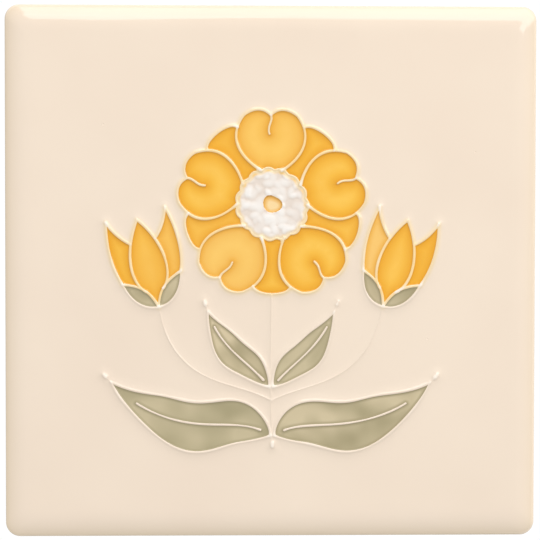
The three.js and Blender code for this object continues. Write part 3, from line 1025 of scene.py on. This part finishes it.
def white_glaze():
    """Thick white glaze dabbed on with a brush tip: glossy lumps with painted light on their tops and painted
    shade in the hollows between them.
    """
    material = new_material("white_dabbed_glaze", Roughness=0.1, IOR=1.52)
    # Painted light and shade: paler where a dab is thick, darker in the hollows between dabs.
    dabbed = tint(material, "#e7dacd", "#f6f1ea", "lump", (0.1, 0.8))
    rimmed = tint(material, "#f4e2bd", dabbed, "line_mm", (0.3, 1.1))
    spotted = tint(material, rimmed, "#f6cb7a", "gold", (0, 1))
    return finish(material, spotted, 1.0, 0.015)


def well_glaze():
    """Thin golden glaze run into the hollow of the eye, with painted shade at its rim, darkest under its
    upper rim, and painted light at its foot.
    """
    material = new_material("gold_well_glaze", Roughness=0.06, IOR=1.55)
    # Painted shade: darkest at the well's rim, paling towards its middle.
    stops = ((0.0, "#cb9038"), (0.28, "#e8ae4e"), (0.7, "#f3c475"), (1.4, "#f9da9f"))
    return finish(material, pooled(material, stops), 2.0, 0.006)


def biscuit():
    """Bare buff earthenware, pressed and fired: matt and sandy. Its grain is drawn half a millimetre wide,
    coarser than the clay's own, so that it shows."""
    material = new_material("buff_earthenware_biscuit", Roughness=0.85, IOR=1.5)
    sand = tint(material, "#cbb695", "#dccbb0", clouds(material, 0.5, 4.0), (0.3, 0.7))
    patchy = tint(material, sand, "#d3bd9b", clouds(material, 22), (0.35, 0.65), (0, 0.6))
    return finish(material, patchy, 0.6, 0.05, 4.0)


def in_scene(thing):
    bpy.context.scene.collection.objects.link(thing)
    return thing


def numbers_of(items, name, width, kind=float):
    """One property of all of a mesh's items, as rows of width numbers."""
    found = np.empty(len(items) * width, kind)
    items.foreach_get(name, found)
    return found.reshape(-1, width)


def lay_out_map(mesh):
    """A map for the exported colours: the face over most of the square, the four sides in strips above it
    and the back small beside it."""
    vertex = numbers_of(mesh.loops, "vertex_index", 1, np.int32)[:, 0]
    x, y, z = numbers_of(mesh.vertices, "co", 3)[vertex].T / MM
    corners = numbers_of(mesh.polygons, "loop_total", 1, np.int32)[:, 0]
    nx, ny, nz = np.repeat(numbers_of(mesh.polygons, "normal", 3), corners, axis=0).T
    middle = np.repeat(numbers_of(mesh.polygons, "center", 3), corners, axis=0) / MM
    wide = max(TILE_WIDTH, TILE_HEIGHT)
    on_face = nz > FACE_SLOPE
    outermost = np.abs(middle[:, :2] / (TILE_WIDTH, TILE_HEIGHT)).max(1) > SIDE_START
    on_side = ~on_face & outermost & (nz > BACK_SLOPE)
    scale = np.where(on_face | on_side, MAP_FACE, MAP_BACK) / wide
    u = MAP_MARGIN + scale * (x + wide / 2)
    v = MAP_MARGIN + scale * (y + wide / 2)
    u = np.where(on_face | on_side, u, u + MAP_FACE + MAP_MARGIN)
    sideways = np.abs(nx) > np.abs(ny)
    strip = np.where(sideways, 2 + (nx > 0), ny > 0)
    along = MAP_MARGIN + scale * (np.where(sideways, y, x) + wide / 2)
    up = MAP_FACE + 2 * MAP_MARGIN + scale * z + strip * MAP_STRIP
    u, v = np.where(on_side, along, u), np.where(on_side, up, v)
    mesh.uv_layers.new(name="OFBake").uv.foreach_set("vector", np.stack([u, v], 1).ravel())


FINISHES = {
    "cream": cream_glaze,
    "amber": amber_glaze,
    "sage": sage_glaze,
    "white": white_glaze,
    "well": well_glaze,
    "biscuit": biscuit,
}


def make_tile():
    """The whole tile as one closed mesh."""
    surface = Surface()
    border = add_face(surface)
    back_ring = add_edge(surface, border)
    add_back(surface, back_ring)
    mesh = bpy.data.meshes.new("relief_tile")
    mesh.from_pydata((np.array(surface.points) * MM).tolist(), [], surface.faces)
    for make_material in FINISHES.values():
        mesh.materials.append(make_material())
    slots = {name: slot for slot, name in enumerate(FINISHES)}
    mesh.polygons.foreach_set("material_index", [slots[name] for name in surface.finishes])
    mesh.polygons.foreach_set("use_smooth", [True] * len(surface.faces))
    for name, values in surface.fields.items():
        mesh.attributes.new(name, "FLOAT", "POINT").data.foreach_set("value", values)
    mesh.attributes.new("tone", "FLOAT", "FACE").data.foreach_set("value", surface.tones)
    lay_out_map(mesh)
    mesh.set_sharp_from_angle(angle=math.radians(SHARP_ANGLE))
    mesh.update()
    return in_scene(bpy.data.objects.new("relief_tile", mesh))


def make_table():
    """A white light table, which throws no shadow round the tile. The glaze mirrors it only beyond the top
    and the right side, so that the edge is darker along the foot and the left side."""
    material = new_material(
        "white_light_table",
        Roughness=1.0,
        IOR=1.45,
        Base_Color="#000000",
        Specular_IOR_Level=0,
        Emission_Color="#ffffff",
        Emission_Strength=TABLE_GLOW,
    )
    far, right, top = TABLE_REACH, TILE_WIDTH / 2 * MM, TILE_HEIGHT / 2 * MM
    plates = (
        ("near_table", (-far, -far, right, top), False),
        ("right_table", (right, -far, far, far), True),
        ("far_table", (-far, top, right, far), True),
    )
    for name, (x0, y0, x1, y1), mirrored_in_glaze in plates:
        mesh = bpy.data.meshes.new(name)
        mesh.from_pydata([(x0, y0, 0), (x1, y0, 0), (x1, y1, 0), (x0, y1, 0)], [], [[0, 1, 2, 3]])
        mesh.materials.append(material)
        plate = in_scene(bpy.data.objects.new(name, mesh))
        plate.visible_glossy = mirrored_in_glaze


def make_softbox(name, panel):
    """An upright panel of light beyond the top of the tile and a little to its right, from low to high above
    the table. A lean above 0 raises its left end. Its size is in metres."""
    light = bpy.data.lights.new(name, "AREA")
    light.shape = "RECTANGLE"
    light.color = linear(PANEL_COLOUR)[:3]
    light.size = panel["width"]
    light.size_y = panel["high"] - panel["low"]
    light.energy = panel["glow"] * math.pi * light.size * light.size_y
    azimuth = math.radians(SOFTBOX_AZIMUTH)
    outwards = Vector((math.sin(azimuth), math.cos(azimuth), 0))
    rightwards = Vector((math.cos(azimuth), -math.sin(azimuth), 0))
    middle = panel["shift"] * rightwards + Vector((0, 0, (panel["low"] + panel["high"]) / 2))
    place = Matrix.Translation(middle + SOFTBOX_DISTANCE * outwards)
    look = (-outwards).to_track_quat("-Z", "Y").to_matrix().to_4x4()
    lean = Matrix.Rotation(math.radians(panel["lean"]), 4, "Z")
    in_scene(bpy.data.objects.new(name, light)).matrix_world = place @ look @ lean


def make_world():
    """A pale room, brightest overhead and a little towards the foot and the left of the tile."""
    world = bpy.data.worlds.new("studio")
    world.use_nodes = True
    ahead = add_node(world, "TexCoord", "Generated")
    sides = {"Vector": ahead, "Vector_001": BRIGHT_SIDE}
    brightness = add_node(world, "VectorMath", "Value", sides, operation="DOT_PRODUCT")
    colour = tint(world, ROOM_DARK, ROOM_LIGHT, brightness, (ROOM_FADE, 1.0))
    set_socket(world, world.node_tree.nodes["Background"].inputs["Color"], colour)
    bpy.context.scene.world = world


def make_camera():
    """A long lens nearly straight above, with the tile's corners where the photograph has them."""
    data = bpy.data.cameras.new("camera")
    data.lens = CAMERA_LENS
    data.sensor_width = CAMERA_SENSOR
    data.clip_start = CLIP_START * MM
    camera = in_scene(bpy.data.objects.new("camera", data))
    camera.location = Vector(CAMERA_PLACE) * MM
    camera.rotation_euler = [math.radians(degrees) for degrees in CAMERA_TURN]
    bpy.context.scene.camera = camera


tile = make_tile()
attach(tile, "root")
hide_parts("tile")
make_table()
for softbox, panel in SOFTBOXES.items():
    make_softbox(softbox, panel)
make_world()
make_camera()
bpy.context.scene.view_settings.view_transform = "Standard"
